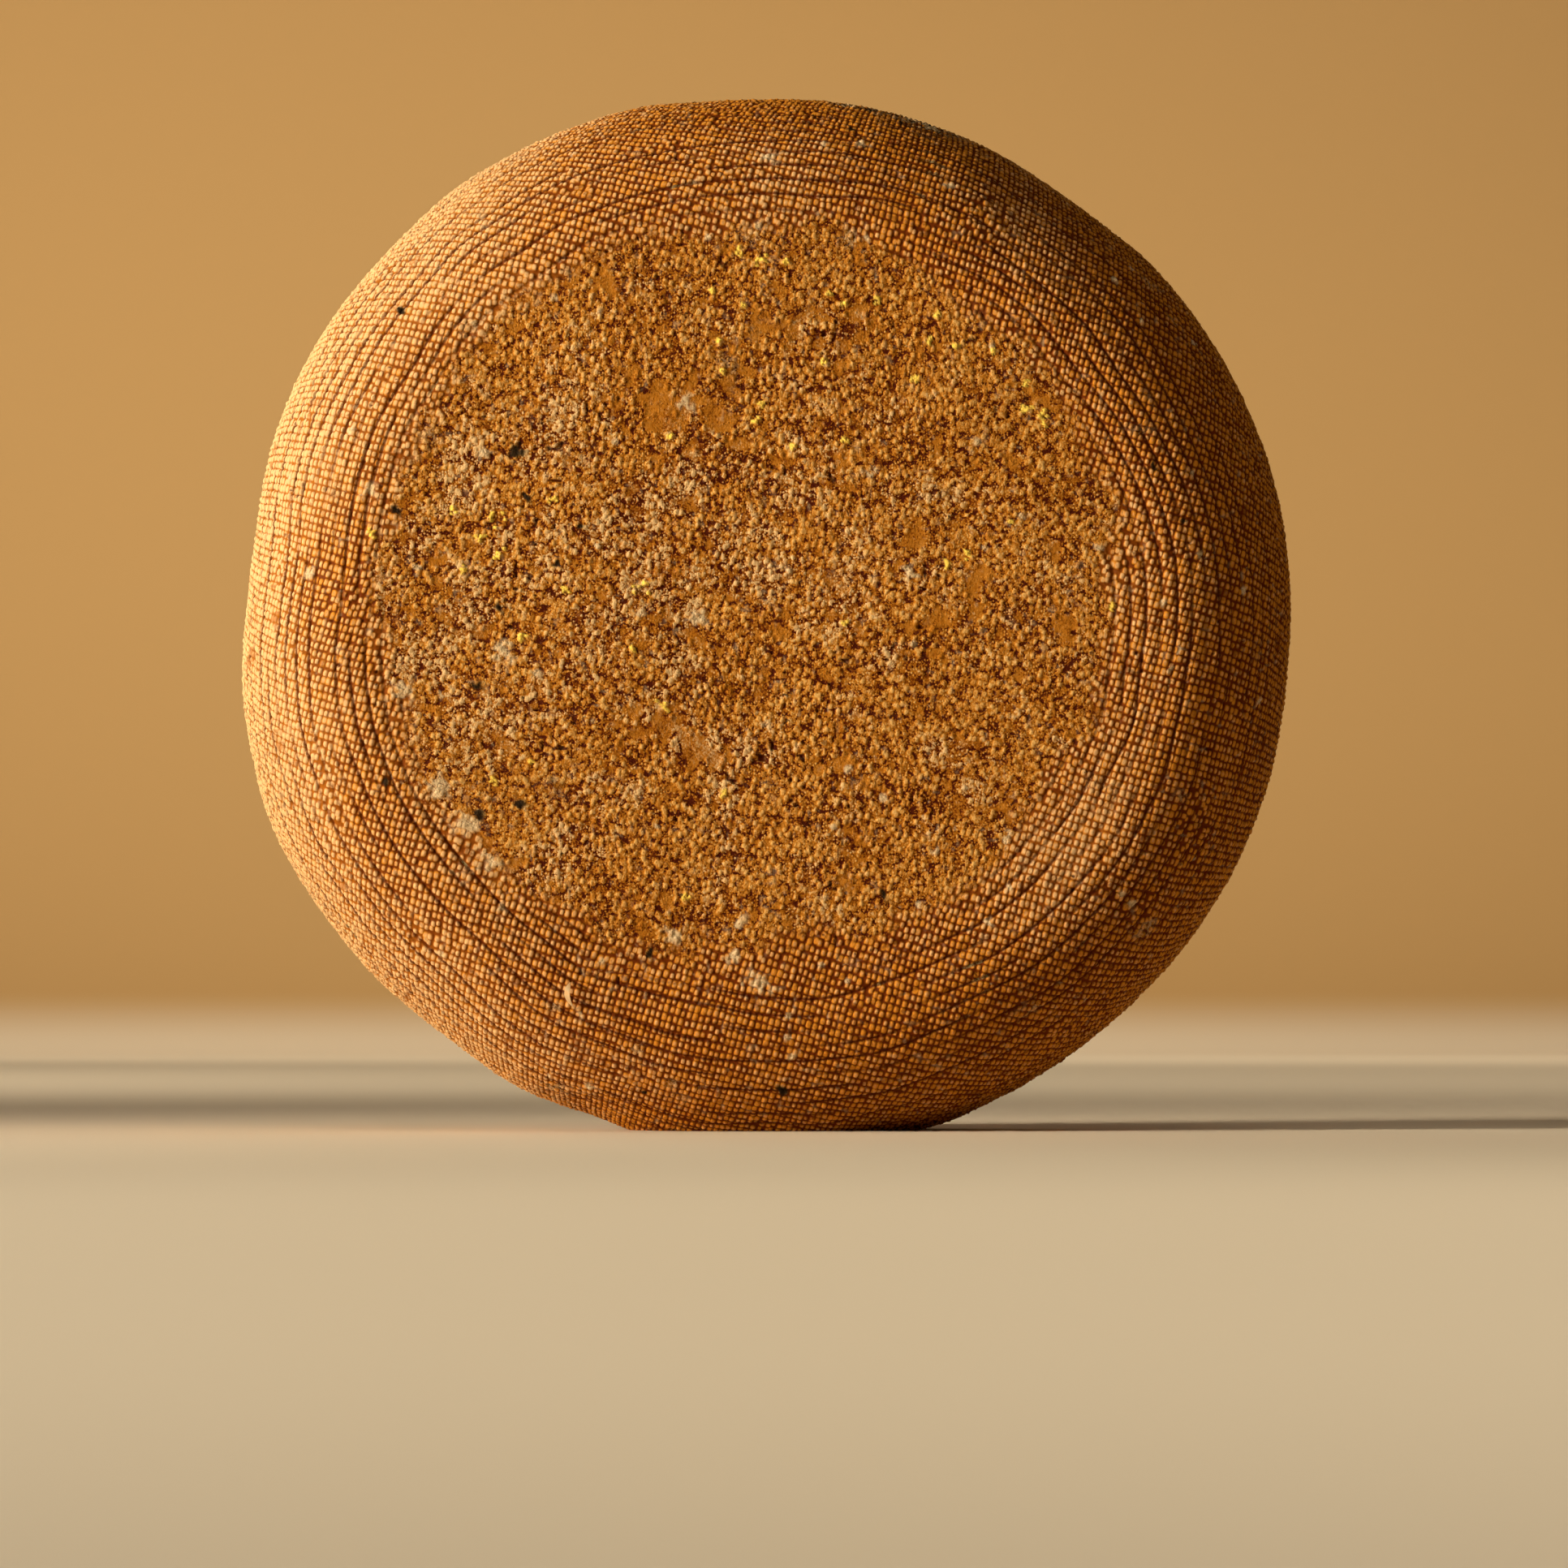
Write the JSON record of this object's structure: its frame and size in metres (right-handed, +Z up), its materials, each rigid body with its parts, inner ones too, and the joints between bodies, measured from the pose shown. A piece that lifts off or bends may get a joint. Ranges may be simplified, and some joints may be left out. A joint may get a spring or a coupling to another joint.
{
  "type": "cheese wheel",
  "caption": "Whole wheel of washed-rind mountain cheese with a full round rim and flat faces, standing on its rim on a small flat spot.",
  "frame": {"origin": "centre of the footprint on the surface the wheel stands on, Z = 0 at the flat spot", "axes": "+Z up, Y along the wheel's axle with the shown face towards -Y, +X to the right seen from the front"},
  "size_m": [0.201, 0.0653, 0.1977],
  "materials": {
    "rind": "dry, matt, orange-brown washed rind with a grained face, the print of a pressing cloth round the rim and spots of yellow and white mould"
  },
  "bodies": {
    "root": {"cheese_wheel": "rind"}
  },
  "joints": []
}
